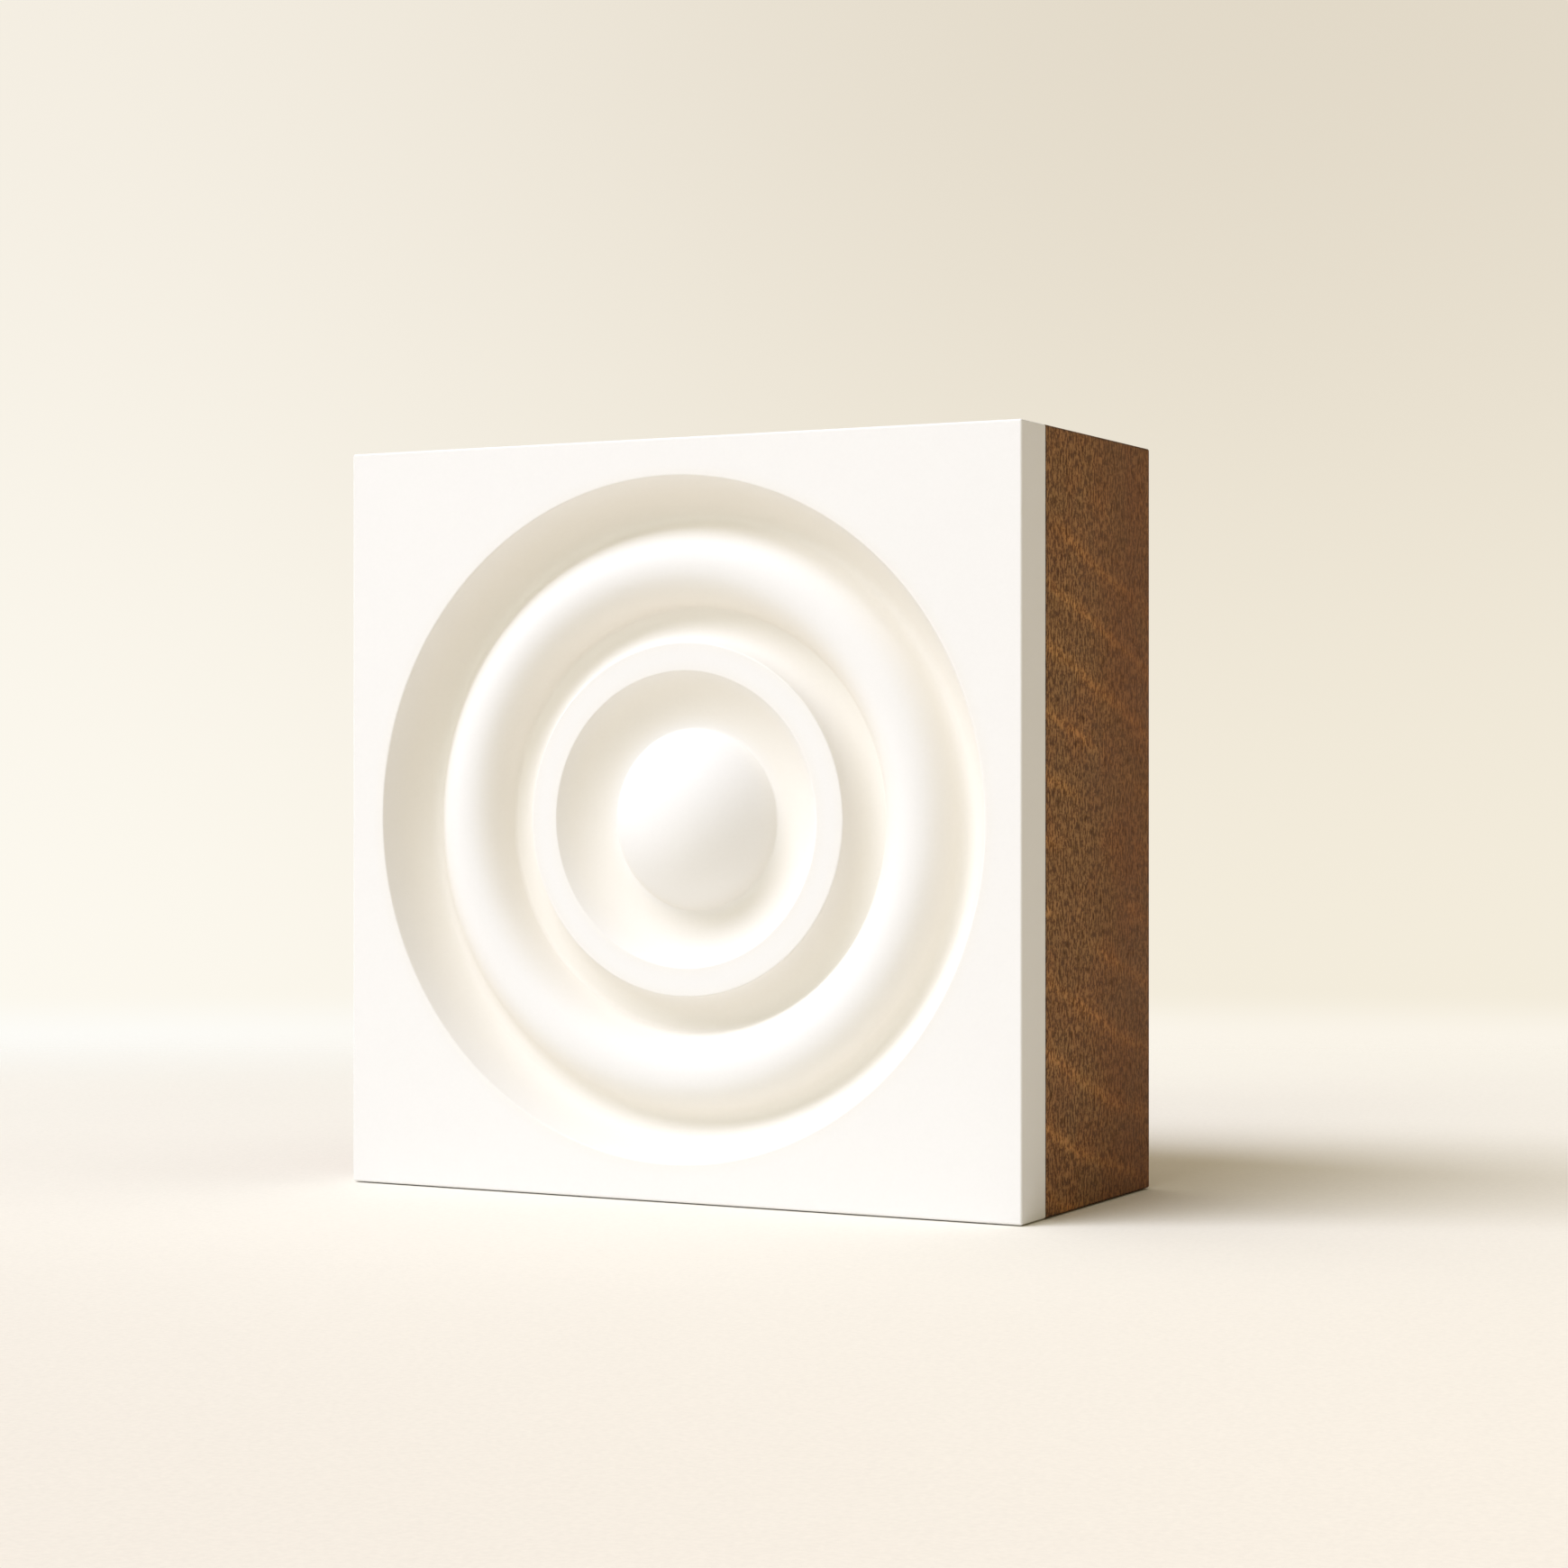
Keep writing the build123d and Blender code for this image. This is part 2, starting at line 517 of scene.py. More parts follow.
@dataclass(frozen=True)
class OiledWalnut:
    """Oiled walnut with upright grain, dense short flecks and faint curl, calmer towards the back."""

    name: str = "oiled_walnut"
    wood: Colour = (0.375, 0.194, 0.073)
    dark_wood: Colour = (0.105, 0.043, 0.01)
    red_wood: Colour = (1.04, 0.95, 0.9)
    curl_light: Colour = (1.55, 1.5, 1.33)
    pore: Colour = (0.06, 0.027, 0.01)
    back_tone: Colour = (0.83, 0.75, 0.73)
    back_contrast: float = 0.62
    roughness: float = 0.62
    sheen: float = 0.11
    grain_height: float = 0.03 * MM
    bump_strength: float = 0.5
    front_depth: float = 8.0 * MM
    back_margin: float = 6.0 * MM
    fibre_span: Span = (0.4, 0.62)
    fibre_share: float = 0.25
    pore_share: float = 0.6
    pore_dullness: float = 0.2
    fleck_relief: float = 0.6
    cloud_scale: float = 75.0
    cloud_amount: float = 0.25
    # Painted shade along the walnut's eased edges and at the glue joint
    edge_reach: float = 0.45 * MM
    edge_painted_shade: float = 0.42

    def material(self, effects: Effects, low: Vector, high: Vector) -> bpy.types.Material:
        """Makes the walnut's material.

        Args:
            effects: The shared node groups.
            low: The lowest corner of the block.
            high: Its highest corner.

        Returns:
            The material.
        """
        made = bpy.data.materials.new(self.name)
        made.use_nodes = True
        sheet = NodeSheet(made.node_tree)
        place = sheet.object_position()
        depth = sheet.add("ShaderNodeSeparateXYZ")
        sheet.put(place, depth.inputs[0])
        backwards = sheet.step(depth.outputs[1], low.y + self.front_depth, high.y - self.back_margin)
        contrast = sheet.maths("MULTIPLY", backwards, 1.0 - self.back_contrast)
        contrast = sheet.maths("SUBTRACT", 1.0, contrast)
        figure = sheet.use(effects.walnut_figure, Position=place)
        flecks = sheet.maths("MULTIPLY", sheet.maths("SUBTRACT", figure.outputs["Flecks"], 0.5), contrast)
        flecks = sheet.maths("ADD", flecks, 0.5)
        pores = sheet.maths("MULTIPLY", figure.outputs["Pores"], contrast)
        colour = sheet.blend(flecks, self.dark_wood, self.wood)
        fibre = sheet.step(figure.outputs["Fibre"], *self.fibre_span, (0.0, self.fibre_share))
        colour = sheet.blend(fibre, colour, self.dark_wood)
        colour = sheet.blend(sheet.maths("MULTIPLY", pores, self.pore_share), colour, self.pore)
        colour = sheet.blend(figure.outputs["Hue"], colour, self.red_wood, Mix.MULTIPLY)
        curl = sheet.maths("MULTIPLY", figure.outputs["Curl"], contrast)
        colour = sheet.blend(curl, colour, self.curl_light, Mix.MULTIPLY)
        colour = sheet.blend(backwards, colour, self.back_tone, Mix.MULTIPLY)
        broad = sheet.use(effects.mottle, Position=place, Scale=self.cloud_scale, Amount=self.cloud_amount)
        edges = sheet.use(
            effects.block_edges, Position=place, Low=tuple(low), High=tuple(high), Reach=self.edge_reach
        )
        # Painted shade: the walnut darkens along its eased edges and at the glue joint
        edge_painted_shade = sheet.step(edges.outputs["Mask"], 0.0, 1.0, (1.0, self.edge_painted_shade))
        tone = sheet.maths("MULTIPLY", broad.outputs["Tone"], edge_painted_shade)
        colour = sheet.shade(colour, tone)
        gloss = sheet.maths("MULTIPLY", broad.outputs["Tone"], self.roughness)
        gloss = sheet.maths("ADD", gloss, sheet.maths("MULTIPLY", pores, self.pore_dullness), clamp=True)
        relief = sheet.maths("SUBTRACT", sheet.maths("MULTIPLY", flecks, self.fleck_relief), pores)
        bump = sheet.add("ShaderNodeBump")
        sheet.put(self.bump_strength, bump.inputs["Strength"])
        sheet.put(self.grain_height, bump.inputs["Distance"])
        sheet.put(relief, bump.inputs["Height"])
        shader = sheet.add("ShaderNodeBsdfPrincipled")
        sheet.put(colour, shader.inputs["Base Color"])
        sheet.put(gloss, shader.inputs["Roughness"])
        sheet.put(self.sheen, shader.inputs["Specular IOR Level"])
        sheet.put(bump.outputs[0], shader.inputs["Normal"])
        sheet.put(shader.outputs[0], sheet.add("ShaderNodeOutputMaterial").inputs["Surface"])
        return made


# Modelling by hand


def deselect_all() -> None:
    """Leaves object mode with nothing selected."""
    if bpy.context.object and bpy.context.object.mode != "OBJECT":
        bpy.ops.object.mode_set(mode="OBJECT")
    bpy.ops.object.select_all(action="DESELECT")


def adopt_primitive(name: str) -> bpy.types.Object:
    """Names the primitive just added, and puts its place into its mesh.

    Args:
        name: The piece's name.

    Returns:
        The piece, with its origin at the frame's origin.
    """
    piece = bpy.context.object
    piece.name = piece.data.name = name
    bpy.ops.object.transform_apply(location=True, rotation=True, scale=True)
    return piece


def select_edges(piece: bpy.types.Object, wanted: Callable[[bmesh.types.BMEdge], bool]) -> None:
    """Selects the edges of a piece in edit mode that pass a test, and nothing else.

    Args:
        piece: The piece in edit mode.
        wanted: The test.
    """
    bpy.ops.mesh.select_mode(type="EDGE")
    bpy.ops.mesh.select_all(action="DESELECT")
    mesh = bmesh.from_edit_mesh(piece.data)
    for edge in mesh.edges:
        if wanted(edge):
            edge.select_set(True)
    bmesh.update_edit_mesh(piece.data)


def is_outer_edge(edge: bmesh.types.BMEdge) -> bool:
    """Whether an edge is one of the square corners of a box."""
    return edge.calc_face_angle(0.0) > SQUARE_CORNER


def lies_at_depth(edge: bmesh.types.BMEdge, depth: float) -> bool:
    """Whether both ends of an edge lie at a depth along Y."""
    return all(abs(corner.co.y - depth) < NEAR for corner in edge.verts)


def ease_box(piece: bpy.types.Object, joint: float, arris: float, segments: int, glue_arris: float) -> None:
    """Eases the square corners of a piece, the ones at the glue joint by an amount of their own.

    Args:
        piece: The piece in edit mode.
        joint: The joint's depth along Y.
        arris: Width of the eased corner away from the joint.
        segments: Number of faces across it.
        glue_arris: Width of the eased corner at the joint.
    """
    select_edges(piece, lambda edge: is_outer_edge(edge) and not lies_at_depth(edge, joint))
    bpy.ops.mesh.bevel(offset=arris, segments=segments, profile=0.5, affect="EDGES")
    select_edges(piece, lambda edge: is_outer_edge(edge) and lies_at_depth(edge, joint))
    bpy.ops.mesh.bevel(offset=glue_arris, segments=2, profile=0.5, affect="EDGES")


def finish_mesh(piece: bpy.types.Object) -> None:
    """Turns the faces outwards and shades the piece, with normals that keep the flat faces flat.

    Args:
        piece: The piece in edit mode.
    """
    bpy.ops.mesh.select_all(action="SELECT")
    bpy.ops.mesh.normals_make_consistent(inside=False)
    bpy.ops.object.mode_set(mode="OBJECT")
    bpy.ops.object.shade_smooth_by_angle(angle=SMOOTH_BELOW)
    weighted = piece.modifiers.new("flat_faces_stay_flat", "WEIGHTED_NORMAL")
    weighted.keep_sharp = True
    bpy.ops.object.modifier_apply(modifier=weighted.name)
    deselect_all()


# The rosette's turned section


def circle_centre(start: Vector, middle: Vector, end: Vector) -> Vector:
    """The centre of the circle through three points of a plane."""
    first, second = middle - start, end - start
    cross = 2 * (first.x * second.y - first.y * second.x)
    return start + Vector(
        (
            (second.y * first.length_squared - first.y * second.length_squared) / cross,
            (first.x * second.length_squared - second.x * first.length_squared) / cross,
        )
    )


def arc_points(start: Vector, middle: Vector, end: Vector, spacing: float) -> list[Vector]:
    """Points along the arc through three points.

    Args:
        start: Its start.
        middle: A point between.
        end: Its end.
        spacing: The largest distance between points.

    Returns:
        The points, both ends included.
    """
    centre = circle_centre(start, middle, end)
    arm = start - centre
    turn = arm.angle_signed(end - centre)
    if abs(arm.angle_signed(middle - centre)) > abs(turn):
        turn -= math.copysign(math.tau, turn)
    count = max(2, math.ceil(abs(turn) * arm.length / spacing))
    points = []
    for index in range(count + 1):
        angle = -turn * index / count
        points.append(centre + Vector((
            arm.x * math.cos(angle) - arm.y * math.sin(angle),
            arm.x * math.sin(angle) + arm.y * math.cos(angle),
        )))
    return points


def trimmed(points: list[Vector], cut: float) -> tuple[list[Vector], Vector]:
    """Cuts a length off the end of a line of points.

    Args:
        points: The line.
        cut: The length to take off its end.

    Returns:
        The shorter line, and its direction at the new end.
    """
    kept = list(points)
    while len(kept) > 2 and (kept[-1] - kept[-2]).length <= cut:
        cut -= (kept[-1] - kept[-2]).length
        kept.pop()
    heading = (kept[-1] - kept[-2]).normalized()
    kept[-1] = kept[-1] - heading * cut
    return kept, heading


def eased(before: list[Vector], after: list[Vector], radius: float, steps: int = 7) -> list[Vector]:
    """Joins two lines of points with a rounded corner.

    Args:
        before: The line that ends at the corner.
        after: The line that starts there.
        radius: The corner's radius.
        steps: Number of short faces round the corner.

    Returns:
        One line of points.
    """
    incoming = (before[-1] - before[-2]).normalized()
    outgoing = (after[1] - after[0]).normalized()
    cut = radius * math.tan(incoming.angle(outgoing) / 2)
    head, heading_in = trimmed(before, cut)
    tail, heading_out = trimmed(after[::-1], cut)
    start, end = head[-1], tail[-1]
    cross = heading_in.x * -heading_out.y + heading_in.y * heading_out.x
    gap = end - start
    reach = (gap.x * -heading_out.y + gap.y * heading_out.x) / cross
    corner = start + heading_in * reach
    bend = []
    for index in range(1, steps):
        share = index / steps
        bend.append(start * (1 - share) ** 2 + corner * 2 * share * (1 - share) + end * share**2)
    return head + bend + tail[::-1]


@dataclass(frozen=True)
class TurnedSection:
    """The rosette's section in metres: dome, cove, flat ring, cove, half-round bead and hollow wall."""

    dome_radius: float = 12.1 * MM
    inner_cove_width: float = 7.5 * MM
    ring_width: float = 3.8 * MM
    outer_cove_width: float = 4.8 * MM
    bead_width: float = 11.1 * MM
    wall_width: float = 5.7 * MM
    dome_setback: float = 0.3 * MM
    ring_depth: float = 3.75 * MM
    hollow_depth: float = 7.2 * MM
    inner_cove_radius: float = 8.5 * MM
    outer_cove_radius: float = 3.9 * MM
    bead_rise: float = 4.6 * MM
    wall_sag: float = 0.9 * MM
    dome_foot_radius: float = 0.4 * MM
    bead_inner_foot_radius: float = 0.7 * MM
    bead_outer_foot_radius: float = 1.6 * MM
    arris_radius: float = 0.3 * MM
    spacing: float = 0.45 * MM

    def steps_outwards(self) -> tuple[float, float, float, float, float, float]:
        """The radii where the forms meet, from the dome's foot to the rosette's rim."""
        widths = (
            self.dome_radius, self.inner_cove_width, self.ring_width,
            self.outer_cove_width, self.bead_width, self.wall_width,
        )
        return tuple(sum(widths[: count + 1]) for count in range(len(widths)))

    def hollows(self) -> tuple[tuple[float, float], ...]:
        """Middle radius and width of the inner cove, the outer cove and the hollow at the wall's foot."""
        dome_foot, ring_inner, ring_outer, bead_inner, bead_outer, rim = self.steps_outwards()
        cove_end = bead_inner + self.bead_width / 4
        wall_start = bead_outer - self.bead_width / 4
        spans = ((dome_foot, ring_inner), (ring_outer, cove_end), (wall_start, rim))
        return tuple(((start + end) / 2, end - start) for start, end in spans)

    def line(self, margin: float) -> list[Vector]:
        """The whole section as points of (distance from the axis, depth below the face).

        Args:
            margin: Width of flat face to add outside the rim.

        Returns:
            The points, from the axis outwards.
        """
        dome_foot, ring_inner, ring_outer, bead_inner, bead_outer, rim = self.steps_outwards()
        drop = self.hollow_depth - self.ring_depth
        inner_floor = ring_inner - math.sqrt(drop * (2 * self.inner_cove_radius - drop))
        outer_floor = ring_outer + math.sqrt(drop * (2 * self.outer_cove_radius - drop))

        def cove_depth(radius: float, distance: float) -> float:
            """Depth of a cove at a distance to the side of its floor."""
            return self.hollow_depth - radius + math.sqrt(radius**2 - distance**2)

        dome_depth = cove_depth(self.inner_cove_radius, inner_floor - dome_foot)
        bead_depth = cove_depth(self.outer_cove_radius, bead_inner - outer_floor)
        top, foot = Vector((0.0, self.dome_setback)), Vector((dome_foot, dome_depth))
        ring_in, ring_out = Vector((ring_inner, self.ring_depth)), Vector((ring_outer, self.ring_depth))
        bead_in, bead_out = Vector((bead_inner, bead_depth)), Vector((bead_outer, self.hollow_depth))
        rim_point = Vector((rim, 0.0))
        mirrored_foot = Vector((-foot.x, foot.y))
        dome = arc_points(mirrored_foot, top, foot, self.spacing)
        dome = [top] + [point for point in dome if point.x > self.spacing / 4]
        middle = (dome_foot + ring_inner) / 2
        flank = Vector((middle, cove_depth(self.inner_cove_radius, middle - inner_floor)))
        inner_cove = arc_points(foot, flank, ring_in, self.spacing)
        outer_cove = arc_points(ring_out, Vector((outer_floor, self.hollow_depth)), bead_in, self.spacing)
        crest = Vector(((bead_inner + bead_outer) / 2, self.hollow_depth - self.bead_rise))
        bead = arc_points(bead_in, crest, bead_out, self.spacing)
        chord = rim_point - bead_out
        outwards = Vector((-chord.y, chord.x)).normalized()
        wall_middle = (bead_out + rim_point) / 2 + outwards * self.wall_sag
        wall = arc_points(bead_out, wall_middle, rim_point, self.spacing)
        line = eased(dome, inner_cove, self.dome_foot_radius)
        line = eased(line, [ring_in, ring_out], self.arris_radius)
        line = eased(line, outer_cove, self.arris_radius)
        line = eased(line, bead, self.bead_inner_foot_radius)
        line = eased(line, wall, self.bead_outer_foot_radius)
        return eased(line, [rim_point, rim_point + Vector((margin, 0.0))], self.arris_radius)


# The pieces


@dataclass
class FaceBoard:
    """The white face board, with the rosette turned in it."""

    section: TurnedSection = field(default_factory=TurnedSection)
    finish: SatinPaint = field(default_factory=SatinPaint)
    spin_steps: int = 288
    arris: float = 0.3 * MM
    arris_segments: int = 4
    glue_arris: float = 0.12 * MM
    flat_margin: float = 1.0 * MM
    axis_point: Vector = field(default_factory=Vector)
    name: str = "face_board"

    def build(self) -> bpy.types.Object:
        """Turns the rosette, fits the square board round it, and closes it.

        Returns:
            The finished board.
        """
        low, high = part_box(CadNode.FACE_PLATE.value)
        centre = (low + high) / 2
        self.axis_point = Vector((centre.x, low.y, centre.z))
        piece = self._section_line()
        self._turn()
        self._square_outline(piece, low, high)
        ease_box(piece, high.y, self.arris, self.arris_segments, self.glue_arris)
        finish_mesh(piece)
        return piece

    def _section_line(self) -> bpy.types.Object:
        """Draws the section by extruding one point along it.

        Returns:
            The piece, in edit mode.
        """
        points = [Vector((p.x, p.y, 0.0)) for p in self.section.line(self.flat_margin)]
        deselect_all()
        start = self.axis_point + points[0]
        bpy.ops.mesh.primitive_plane_add(size=MM, location=start)
        piece = adopt_primitive(self.name)
        bpy.ops.object.mode_set(mode="EDIT")
        bpy.ops.mesh.select_mode(type="VERT")
        bpy.ops.mesh.select_all(action="SELECT")
        bpy.ops.mesh.merge(type="CENTER")
        for before, after in zip(points, points[1:]):
            bpy.ops.mesh.extrude_region_move(TRANSFORM_OT_translate={"value": after - before})
        return piece

    def _turn(self) -> None:
        """Spins the section round the rosette's axis and closes the pole."""
        bpy.ops.mesh.select_all(action="SELECT")
        bpy.ops.mesh.spin(
            steps=self.spin_steps, angle=math.tau, center=self.axis_point, axis=(0.0, 1.0, 0.0)
        )
        bpy.ops.mesh.select_all(action="SELECT")
        bpy.ops.mesh.remove_doubles(threshold=MERGE_WITHIN)

    def _square_outline(self, piece: bpy.types.Object, low: Vector, high: Vector) -> None:
        """Bridges the turned disc to a square, extrudes the sides and fills the back."""
        bpy.ops.mesh.select_all(action="DESELECT")
        bpy.ops.mesh.primitive_plane_add(
            size=high.x - low.x, location=self.axis_point, rotation=(math.pi / 2, 0.0, 0.0)
        )
        bpy.ops.mesh.delete(type="ONLY_FACE")
        bpy.ops.mesh.select_mode(type="EDGE")
        select_edges(piece, lambda edge: edge.is_wire)
        bpy.ops.mesh.subdivide(number_cuts=self.spin_steps // 4 - 1)
        select_edges(piece, lambda edge: edge.is_wire or edge.is_boundary)
        bpy.ops.mesh.bridge_edge_loops()
        select_edges(piece, lambda edge: edge.is_boundary)
        bpy.ops.mesh.extrude_region_move(TRANSFORM_OT_translate={"value": (0.0, high.y - low.y, 0.0)})
        bpy.ops.mesh.edge_face_add()

    def dress(self, piece: bpy.types.Object, effects: Effects) -> None:
        """Paints the board, hides the CAD node that it replaces and hangs it on the root body.

        Args:
            piece: The finished board.
            effects: The shared node groups.
        """
        low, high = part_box(CadNode.FACE_PLATE.value)
        piece.data.materials.append(self.finish.material(effects, low, high, self.section.hollows()))
        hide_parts(CadNode.FACE_PLATE.value)
        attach(piece, ROOT_BODY)


@dataclass
class WalnutBlock:
    """The walnut block behind the board."""

    finish: OiledWalnut = field(default_factory=OiledWalnut)
    arris: float = 0.3 * MM
    arris_segments: int = 4
    glue_arris: float = 0.22 * MM
    name: str = "walnut_block"

    def build(self) -> bpy.types.Object:
        """Shapes the block from a cube and eases its arrises.

        Returns:
            The finished block.
        """
        low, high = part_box(CadNode.BACKING_BLOCK.value)
        deselect_all()
        bpy.ops.mesh.primitive_cube_add(size=1.0, location=(low + high) / 2, scale=high - low)
        piece = adopt_primitive(self.name)
        bpy.ops.object.mode_set(mode="EDIT")
        ease_box(piece, low.y, self.arris, self.arris_segments, self.glue_arris)
        finish_mesh(piece)
        return piece

    def dress(self, piece: bpy.types.Object, effects: Effects) -> None:
        """Finishes the walnut, hides the CAD node that it replaces and hangs it on the root body.

        Args:
            piece: The finished block.
            effects: The shared node groups.
        """
        low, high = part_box(CadNode.BACKING_BLOCK.value)
        piece.data.materials.append(self.finish.material(effects, low, high))
        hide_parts(CadNode.BACKING_BLOCK.value)
        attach(piece, ROOT_BODY)


# Camera, light and stage


@dataclass(frozen=True)
class PhotoCamera:
    """A level camera to the right of the block, where the photograph was taken from."""

    place: tuple[float, float, float] = (214.5 * MM, -403.3 * MM, 55.5 * MM)
    turn: float = -27.39
    focal_px: float = 3713.0
    picture_px: float = 1740.0
    centre_row_px: float = 863.0
    sensor: float = 36.0

    def forward(self) -> Vector:
        """The level direction in which it looks."""
        turn = math.radians(self.turn)
        return Vector((math.sin(turn), math.cos(turn), 0.0))

    def right(self) -> Vector:
        """The direction to its right."""
        ahead = self.forward()
        return Vector((ahead.y, -ahead.x, 0.0))

    def build(self) -> bpy.types.Object:
        """Makes the camera and gives it to the scene.

        Returns:
            The camera.
        """
        data = bpy.data.cameras.new("photo_camera")
        camera = bpy.data.objects.new("photo_camera", data)
        bpy.context.scene.collection.objects.link(camera)
        data.sensor_width = self.sensor
        data.lens = self.focal_px / self.picture_px * self.sensor
        data.shift_y = (self.centre_row_px - self.picture_px / 2) / self.picture_px
        data.clip_start, data.clip_end = 0.01, 20.0
        camera.location = self.place
        camera.rotation_euler = self.forward().to_track_quat("-Z", "Y").to_euler()
        bpy.context.scene.camera = camera
        return camera


@dataclass(frozen=True)
class SoftLamp:
    """An elliptical area lamp on an arm, aimed at the middle of the block's face."""

    name: str
    bearing: float
    lift: float
    width: float
    depth: float
    power: float
    colour: Colour
    distance: float = 2.6

    def build(self, target: Vector) -> bpy.types.Object:
        """Hangs the lamp.

        Args:
            target: The point that it is aimed at.

        Returns:
            The lamp, with its long axis along the circle that its bearing runs on.
        """
        bearing, lift = math.radians(self.bearing), math.radians(self.lift)
        towards = Vector((
            math.cos(lift) * math.cos(bearing), -math.sin(lift), math.cos(lift) * math.sin(bearing),
        ))
        along = Vector((-math.sin(bearing), 0.0, math.cos(bearing)))
        data = bpy.data.lights.new(self.name, "AREA")
        data.shape, data.size, data.size_y = "ELLIPSE", self.width, self.depth
        data.energy, data.color = self.power, self.colour
        lamp = bpy.data.objects.new(self.name, data)
        bpy.context.scene.collection.objects.link(lamp)
        lamp.location = target + towards * self.distance
        lamp.rotation_euler = Matrix((along, towards.cross(along), towards)).transposed().to_euler()
        return lamp


@dataclass(frozen=True)
class StudioLight:
    """A wide soft lamp over the upper left, a weak one in front, and a dim warm room."""

    key: SoftLamp = SoftLamp("soft_key", 117.0, 27.0, 2.7, 1.1, 58.4, (0.797, 0.836, 1.0))
    front: SoftLamp = SoftLamp("front_fill", 110.0, 62.0, 2.08, 1.3, 13.4, (0.925, 1.0, 0.98))
    room_left: Colour = (0.1, 0.1, 0.1)
    room_right: Colour = (0.265, 0.217, 0.145)
    ceiling_left: Colour = (0.8, 0.7, 0.56)
    ceiling_right: Colour = (0.265, 0.23, 0.145)
    backdrop_left: Colour = (0.982, 0.947, 0.863)
    backdrop_right: Colour = (0.9, 0.84, 0.713)
    top_left: Colour = (0.91, 0.859, 0.764)
    top_right: Colour = (0.761, 0.695, 0.578)
    far_floor_left: Colour = (0.99, 0.98, 0.937)
    far_floor_right: Colour = (0.96, 0.908, 0.812)
    sideways_span: Span = (-0.5, 0.7)
    ceiling_span: Span = (0.1, 0.7)
    rightwards_span: Span = (-0.26, 0.16)
    top_span: Span = (-0.07, 0.24)
    table_edge_span: Span = (-0.062, -0.076)

    def build(self, camera: PhotoCamera, target: Vector) -> None:
        """Hangs the lamps and lights the room.

        Args:
            camera: The photograph's camera, for the backdrop's gradient.
            target: The middle of the block's face.
        """
        self.key.build(target)
        self.front.build(target)
        self._room(camera)

    def _room(self, camera: PhotoCamera) -> None:
        """The world: what lights the block, and what the camera and reflections see."""
        world = bpy.data.worlds.new("studio_room")
        world.use_nodes = True
        bpy.context.scene.world = world
        sheet = NodeSheet(world.node_tree)
        way = sheet.add("ShaderNodeTexCoord").outputs["Generated"]
        side = sheet.vectors("DOT_PRODUCT", way, tuple(camera.right())).outputs[1]
        parts = sheet.add("ShaderNodeSeparateXYZ")
        sheet.put(way, parts.inputs[0])
        sideways = sheet.vectors("DOT_PRODUCT", way, (1.0, 0.0, 0.0)).outputs[1]
        across = sheet.step(sideways, *self.sideways_span)
        walls = sheet.blend(across, self.room_left, self.room_right)
        ceiling = sheet.blend(across, self.ceiling_left, self.ceiling_right)
        glow = sheet.blend(sheet.step(parts.outputs[2], *self.ceiling_span), walls, ceiling)
        rightwards = sheet.step(side, *self.rightwards_span)
        wall = sheet.blend(rightwards, self.backdrop_left, self.backdrop_right)
        top = sheet.blend(rightwards, self.top_left, self.top_right)
        far_floor = sheet.blend(rightwards, self.far_floor_left, self.far_floor_right)
        seen = sheet.blend(sheet.step(parts.outputs[2], *self.top_span), wall, top)
        seen = sheet.blend(sheet.step(parts.outputs[2], *self.table_edge_span), seen, far_floor)
        path = sheet.add("ShaderNodeLightPath")
        looked_at = sheet.maths("MAXIMUM", path.outputs["Is Camera Ray"], path.outputs["Is Glossy Ray"])
        looked_at = sheet.maths("MAXIMUM", looked_at, path.outputs["Is Transmission Ray"])
        background = sheet.add("ShaderNodeBackground")
        sheet.put(sheet.blend(looked_at, glow, seen), background.inputs["Color"])
        sheet.put(background.outputs[0], sheet.add("ShaderNodeOutputWorld").inputs["Surface"])


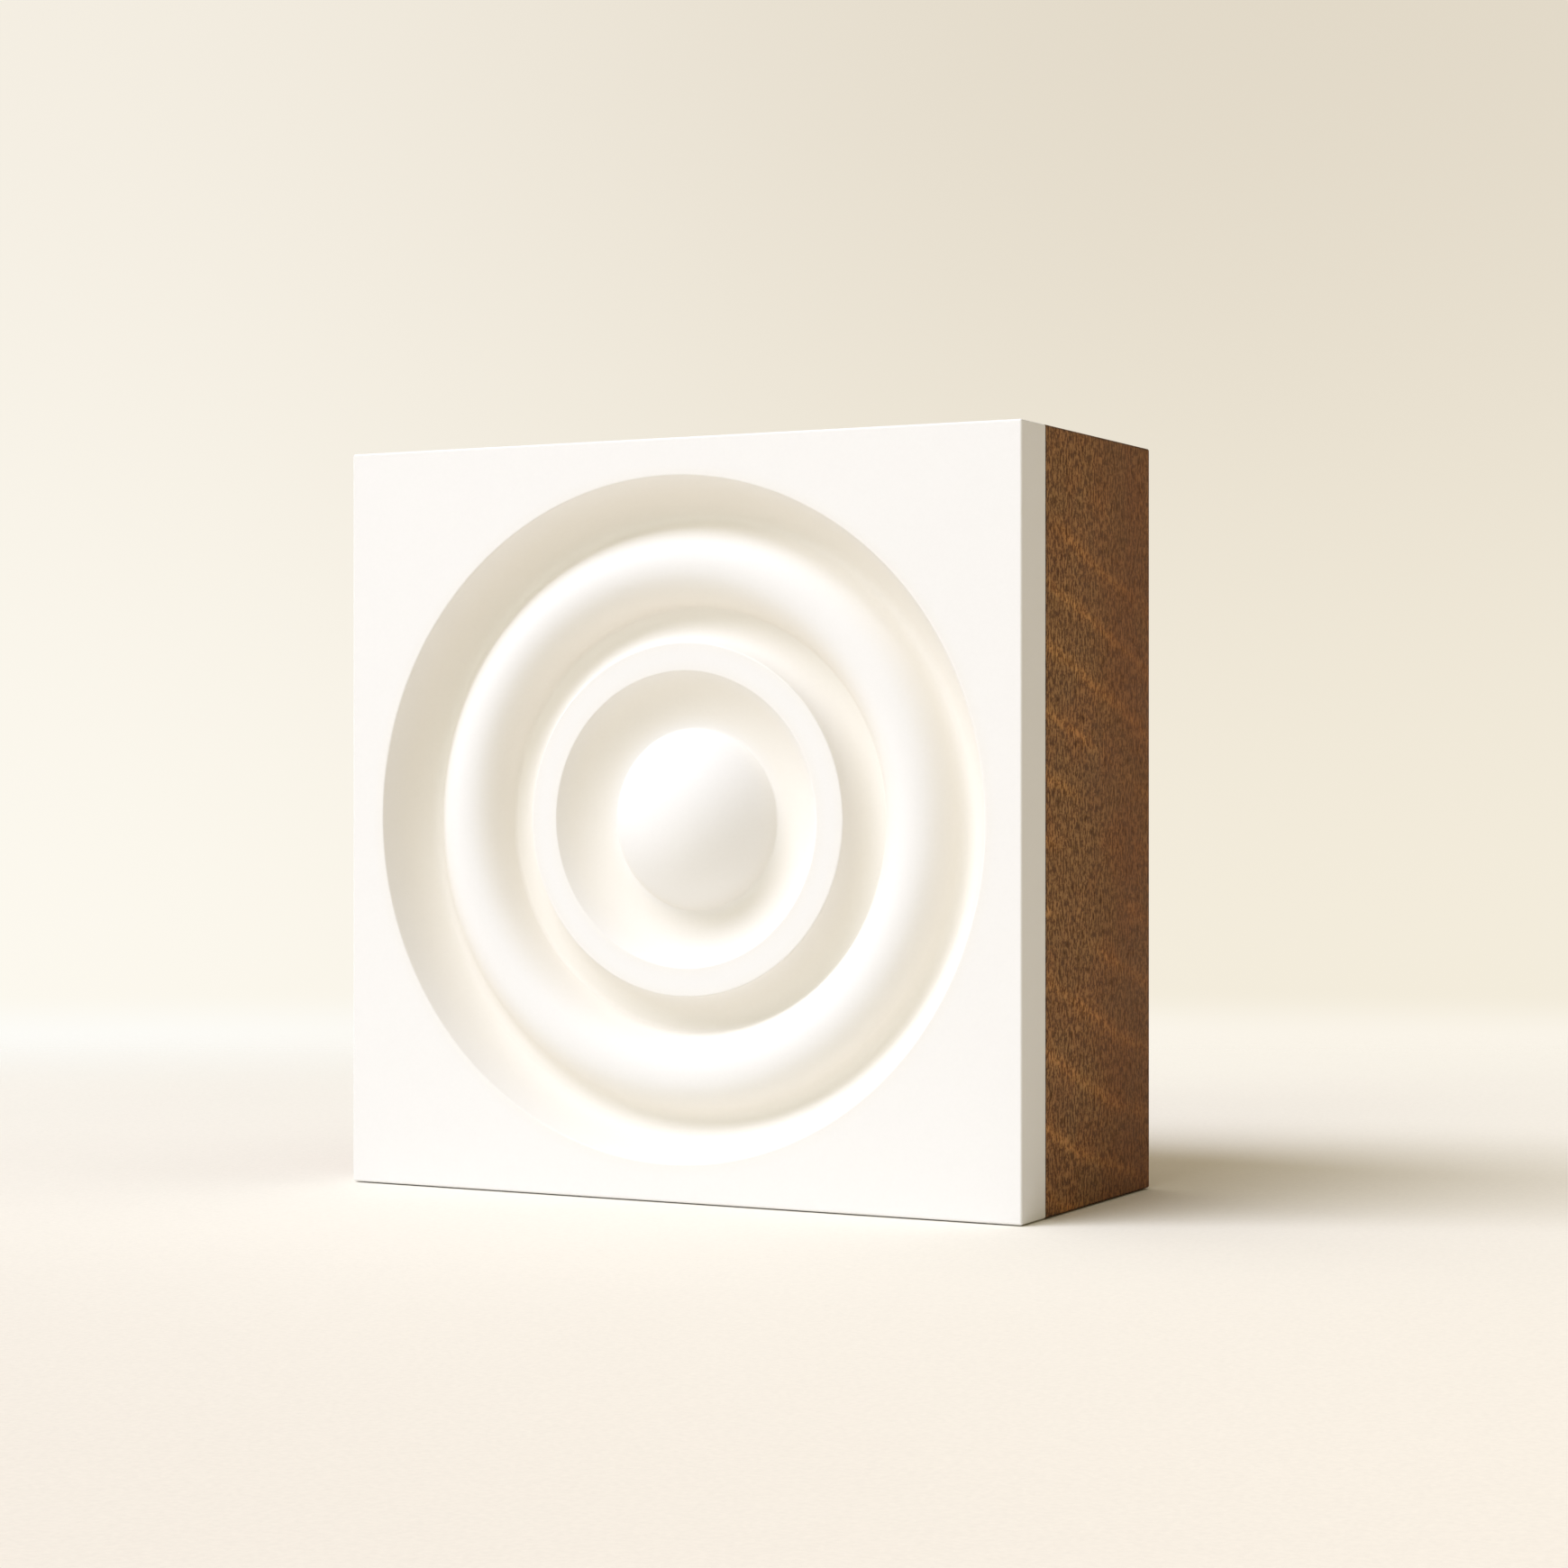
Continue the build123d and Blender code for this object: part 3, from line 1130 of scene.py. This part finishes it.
@dataclass(frozen=True)
class PaleFloor:
    """The pale table top, which melts into the backdrop behind the block."""

    radius: float = 2.0
    clearance: float = 0.15 * MM
    # Painted shadow: how far and how much the floor darkens round the block's foot
    painted_shadow_reach: float = 60.0 * MM
    painted_shadow_tone: float = 0.96
    melt_start: float = 0.13
    melt_end: float = 0.28
    near_tone: Colour = (0.91, 0.862, 0.763)
    # Painted light and shade: a lighter floor towards the back, and a darker one on the left
    far_painted_light: Colour = (0.98, 0.965, 0.88)
    left_painted_shade: Colour = (0.92, 0.92, 0.93)
    behind_span: Span = (-0.25, 0.2)
    aside_span: Span = (-0.1, 0.1)
    rim_span: Span = (0.6, 0.98)
    grain_scale: float = 1700.0
    grain_amount: float = 0.11
    cloud_scale: float = 9.0
    cloud_amount: float = 0.03
    corners: int = 96

    def build(self, camera: PhotoCamera, effects: Effects, high: Vector) -> bpy.types.Object:
        """Lays the floor.

        Args:
            camera: The photograph's camera, which says where behind is.
            effects: The shared node groups.
            high: The highest corner of the block, for its footprint.

        Returns:
            The floor.
        """
        deselect_all()
        bpy.ops.mesh.primitive_circle_add(
            vertices=self.corners, radius=self.radius, fill_type="NGON",
            location=(0.0, 0.0, -self.clearance),
        )
        floor = adopt_primitive("pale_floor")
        floor.data.materials.append(self._material(camera, effects, high))
        floor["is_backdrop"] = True
        deselect_all()
        return floor

    def _material(self, camera: PhotoCamera, effects: Effects, high: Vector) -> bpy.types.Material:
        """The floor's colour with painted light and shade (lighter towards the back, darker on the left, and
        a painted shadow round the block's foot), and the soft line where it ends.

        Args:
            camera: The photograph's camera, which says where behind is.
            effects: The shared node groups.
            high: The highest corner of the block, for its footprint.

        Returns:
            The material.
        """
        made = bpy.data.materials.new("pale_table_top")
        made.use_nodes = True
        sheet = NodeSheet(made.node_tree)
        place = sheet.object_position()
        behind = sheet.vectors("DOT_PRODUCT", place, tuple(camera.forward())).outputs[1]
        aside = sheet.vectors("DOT_PRODUCT", place, tuple(camera.right())).outputs[1]
        # Painted light and shade: lighter towards the back, and darker on the left where the key lamp falls
        # most strongly
        colour = sheet.blend(sheet.step(behind, *self.behind_span), self.near_tone, self.far_painted_light)
        tint = sheet.blend(sheet.step(aside, *self.aside_span), self.left_painted_shade, (1.0, 1.0, 1.0))
        colour = sheet.blend(1.0, colour, tint, Mix.MULTIPLY)
        # Painted shadow: the floor darkens towards the block's footprint
        mirrored = sheet.vectors("ABSOLUTE", place).outputs[0]
        beyond = sheet.vectors("SUBTRACT", mirrored, (high.x, high.y, 1.0))
        beyond = sheet.vectors("MAXIMUM", beyond.outputs[0], (0.0, 0.0, 0.0))
        off = sheet.vectors("LENGTH", beyond.outputs[0]).outputs[1]
        foot = sheet.step(off, 0.0, self.painted_shadow_reach, (self.painted_shadow_tone, 1.0))
        grain = sheet.use(effects.speckle, Position=place, Scale=self.grain_scale, Amount=self.grain_amount)
        cloud = sheet.use(effects.mottle, Position=place, Scale=self.cloud_scale, Amount=self.cloud_amount)
        tone = sheet.maths("MULTIPLY", grain.outputs["Tone"], cloud.outputs["Tone"])
        tone = sheet.maths("MULTIPLY", tone, foot)
        colour = sheet.shade(colour, tone)
        surface = sheet.add("ShaderNodeBsdfDiffuse")
        sheet.put(colour, surface.inputs["Color"])
        clear = sheet.add("ShaderNodeBsdfTransparent")
        melt = sheet.add("ShaderNodeMixShader")
        far_off = sheet.vectors("LENGTH", place).outputs[1]
        rim_start, rim_end = (self.radius * share for share in self.rim_span)
        melting = sheet.step(behind, self.melt_start, self.melt_end)
        fade = sheet.maths("MAXIMUM", melting, sheet.step(far_off, rim_start, rim_end))
        sheet.put(fade, melt.inputs[0])
        sheet.put(surface.outputs[0], melt.inputs[1])
        sheet.put(clear.outputs[0], melt.inputs[2])
        sheet.put(melt.outputs[0], sheet.add("ShaderNodeOutputMaterial").inputs["Surface"])
        return made


def main() -> None:
    """Builds the block, its light and its stage, in order."""
    logging.basicConfig(level=logging.INFO, format="%(name)s: %(message)s")
    cad_low, cad_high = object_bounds()
    bpy.context.scene.view_settings.view_transform = "Standard"
    effects = Effects()
    for maker in (FaceBoard(), WalnutBlock()):
        piece = maker.build()
        maker.dress(piece, effects)
        log.info("%s: %d faces", piece.name, len(piece.data.polygons))
    camera = PhotoCamera()
    camera.build()
    StudioLight().build(camera, Vector((0.0, cad_low.y, (cad_low.z + cad_high.z) / 2)))
    floor = PaleFloor().build(camera, effects, cad_high)
    log.info("%s laid, camera and light placed", floor.name)


if __name__ == "__main__":
    main()
